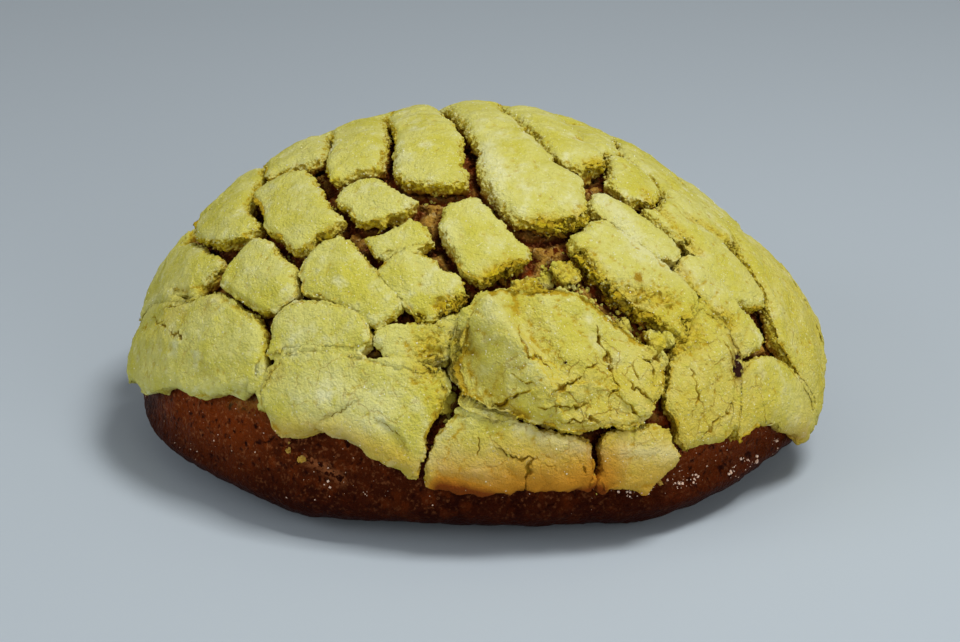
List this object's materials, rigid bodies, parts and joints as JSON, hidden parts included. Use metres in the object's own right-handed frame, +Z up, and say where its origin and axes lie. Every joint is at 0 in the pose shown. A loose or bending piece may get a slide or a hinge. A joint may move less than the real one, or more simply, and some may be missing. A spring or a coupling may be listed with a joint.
{
  "type": "concha sweet bun",
  "caption": "Domed sweet bread bun with a scored sugar-paste topping that cracked into pale plates.",
  "frame": {"origin": "middle of the flat base the bun rests on", "axes": "+Z up through the crown; +X along the bun's longer side; the side with the broken plates faces -Y"},
  "size_m": [0.1431, 0.1289, 0.0671],
  "materials": {
    "bun_crust": "satin",
    "sugar_paste": "matte"
  },
  "bodies": {
    "root": {"bun": "bun_crust", "skirt_left": "sugar_paste", "side_left": "sugar_paste", "long_left": "sugar_paste", "top_left": "sugar_paste", "square_left": "sugar_paste", "crown_1": "sugar_paste", "crown_2": "sugar_paste", "crown_3": "sugar_paste", "crown_long": "sugar_paste", "crown_4": "sugar_paste", "crown_5": "sugar_paste", "small_left": "sugar_paste", "small_middle": "sugar_paste", "middle_left": "sugar_paste", "middle_right": "sugar_paste", "slope_left": "sugar_paste", "slope_middle": "sugar_paste", "slope_lower": "sugar_paste", "saddle": "sugar_paste", "skirt_front_left": "sugar_paste", "front_boulder": "sugar_paste", "skirt_front": "sugar_paste", "skirt_block": "sugar_paste", "front_right": "sugar_paste", "skirt_right": "sugar_paste", "slope_right": "sugar_paste", "ledge_right": "sugar_paste", "strip_right": "sugar_paste", "shoulder_1": "sugar_paste", "shoulder_2": "sugar_paste", "shoulder_3": "sugar_paste", "flank_right": "sugar_paste", "end_right": "sugar_paste", "chip_1": "sugar_paste", "chip_2": "sugar_paste", "chip_3": "sugar_paste", "chip_4": "sugar_paste", "back_1_1": "sugar_paste", "back_1_2": "sugar_paste", "back_1_3": "sugar_paste", "back_1_4": "sugar_paste", "back_1_5": "sugar_paste", "back_1_6": "sugar_paste", "back_1_7": "sugar_paste", "back_1_8": "sugar_paste", "back_1_9": "sugar_paste", "back_2_1": "sugar_paste", "back_2_2": "sugar_paste", "back_2_3": "sugar_paste", "back_2_4": "sugar_paste", "back_2_5": "sugar_paste", "back_2_6": "sugar_paste", "back_2_7": "sugar_paste", "back_2_8": "sugar_paste", "back_3_1": "sugar_paste", "back_3_2": "sugar_paste", "back_3_3": "sugar_paste", "back_3_4": "sugar_paste", "back_3_5": "sugar_paste"}
  },
  "joints": []
}
